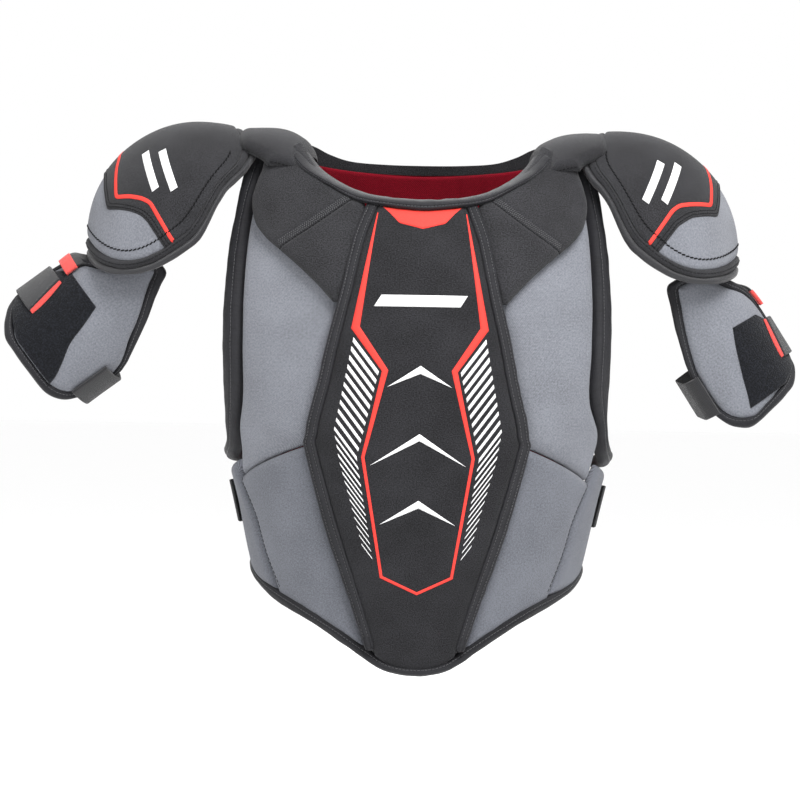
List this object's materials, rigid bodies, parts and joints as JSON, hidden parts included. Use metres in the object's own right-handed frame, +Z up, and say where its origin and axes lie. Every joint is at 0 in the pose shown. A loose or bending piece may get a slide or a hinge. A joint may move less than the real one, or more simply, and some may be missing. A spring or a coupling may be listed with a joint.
{
  "type": "hockey shoulder pads",
  "caption": "Padded vest with a raised chest plate, lined back, hinged shoulder caps and strapped upper-arm guards, worn over the shoulders for ice hockey.",
  "frame": {"origin": "midway between the two shoulder rests, on the plane where the pads sit on the wearer's shoulders", "axes": "+X towards the wearer's left arm, -Y out of the chest, +Z up"},
  "size_m": [0.7102, 0.2653, 0.484],
  "materials": {
    "black_fabric": "matt brushed black knit over foam",
    "plate_black": "matt black coated fabric, printed",
    "grey_fabric": "fine grey woven fabric with a slight sheen",
    "satin_tape": "dark satin binding tape",
    "red_lining": "dark red brushed lining, quilted in channels",
    "coral_tab": "coral red woven tab",
    "elastic": "black ribbed elastic webbing",
    "loop_pile": "black loop pile for hook tabs",
    "plastic": "black moulded plastic, hidden inside the padding",
    "foam": "dark closed-cell foam"
  },
  "bodies": {
    "harness": {"right_shoulder_rest": "foam", "right_yoke": "plastic", "right_bridging_pad": "black_fabric", "right_shoulder_blade_pad": "black_fabric", "left_shoulder_rest": "foam", "left_yoke": "plastic", "left_bridging_pad": "black_fabric", "left_shoulder_blade_pad": "black_fabric", "back_edge_binding": "satin_tape", "back_collar": "black_fabric", "back_liner": "red_lining", "back_foam": "grey_fabric", "spine_insert": "plastic", "spine_pad_cover": "plate_black"},
    "front_vest": {"front_liner": "red_lining", "sternum_foam": "foam", "sternum_plate_binding": "satin_tape", "sternum_plate_cover": "plate_black", "sternum_plate_insert": "plastic", "front_neck_binding": "satin_tape", "front_hem_binding": "satin_tape", "right_armhole_binding": "satin_tape", "right_chest_pad": "grey_fabric", "right_belly_pad": "grey_fabric", "right_side_wing": "grey_fabric", "right_upper_clavicle_pad": "black_fabric", "right_lower_clavicle_pad": "black_fabric", "left_armhole_binding": "satin_tape", "left_chest_pad": "grey_fabric", "left_belly_pad": "grey_fabric", "left_side_wing": "grey_fabric", "left_upper_clavicle_pad": "black_fabric", "left_lower_clavicle_pad": "black_fabric"},
    "right_side_strap": {"right_side_strap": "elastic"},
    "right_cap": {"right_cap_binding": "satin_tape", "right_cap_cover": "grey_fabric", "right_cap_shell": "plastic", "right_cap_liner": "foam"},
    "right_adjuster": {"right_adjuster_webbing": "elastic"},
    "right_guard": {"right_guard_binding": "satin_tape", "right_guard_pad": "grey_fabric", "right_guard_insert": "plastic", "right_guard_liner": "foam", "right_guard_loop_patch": "loop_pile", "right_arm_strap": "elastic"},
    "right_strap_end": {"right_arm_strap_tab": "elastic"},
    "left_side_strap": {"left_side_strap": "elastic"},
    "left_cap": {"left_cap_binding": "satin_tape", "left_cap_cover": "grey_fabric", "left_cap_shell": "plastic", "left_cap_liner": "foam"},
    "left_adjuster": {"left_adjuster_webbing": "elastic"},
    "left_guard": {"left_guard_binding": "satin_tape", "left_guard_pad": "grey_fabric", "left_guard_insert": "plastic", "left_guard_liner": "foam", "left_guard_loop_patch": "loop_pile", "left_arm_strap": "elastic"},
    "left_strap_end": {"left_arm_strap_tab": "elastic"}
  },
  "joints": [
    {"name": "front_vest_lift", "type": "hinge", "parent": "harness", "child": "front_vest", "pos_m": [0, -0.046, -0.002], "axis": [-1, 0, 0], "range_deg": [0, 45]},
    {"name": "right_side_strap_open", "type": "hinge", "parent": "harness", "child": "right_side_strap", "pos_m": [-0.1237, 0.0722, -0.315], "axis": [0, 0, -1], "range_deg": [0, 70]},
    {"name": "right_cap_raise", "type": "hinge", "parent": "harness", "child": "right_cap", "pos_m": [-0.156, 0, 0.004], "axis": [0, 1, 0], "range_deg": [0, 45]},
    {"name": "right_adjuster_swing", "type": "hinge", "parent": "right_cap", "child": "right_adjuster", "pos_m": [-0.23273, 0, -0.10587], "axis": [0, 1, 0], "range_deg": [-20, 0]},
    {"name": "right_guard_length", "type": "slide", "parent": "right_adjuster", "child": "right_guard", "axis": [-0.7997, 0, -0.6004], "range_m": [0, 0.015]},
    {"name": "right_arm_strap_open", "type": "hinge", "parent": "right_guard", "child": "right_strap_end", "pos_m": [-0.3462, 0.00835, -0.1168], "axis": [-0.7997, 0, -0.6004], "range_deg": [0, 60]},
    {"name": "left_side_strap_open", "type": "hinge", "parent": "harness", "child": "left_side_strap", "pos_m": [0.1237, 0.0722, -0.315], "axis": [0, 0, 1], "range_deg": [0, 70]},
    {"name": "left_cap_raise", "type": "hinge", "parent": "harness", "child": "left_cap", "pos_m": [0.156, 0, 0.004], "axis": [0, -1, 0], "range_deg": [0, 45]},
    {"name": "left_adjuster_swing", "type": "hinge", "parent": "left_cap", "child": "left_adjuster", "pos_m": [0.22078, 0, -0.10428], "axis": [0, -1, 0], "range_deg": [-20, 0]},
    {"name": "left_guard_length", "type": "slide", "parent": "left_adjuster", "child": "left_guard", "axis": [0.5402, 0, -0.8415], "range_m": [0, 0.015]},
    {"name": "left_arm_strap_open", "type": "hinge", "parent": "left_guard", "child": "left_strap_end", "pos_m": [0.31657, 0.02365, -0.15842], "axis": [-0.5402, 0, 0.8415], "range_deg": [0, 60]}
  ]
}
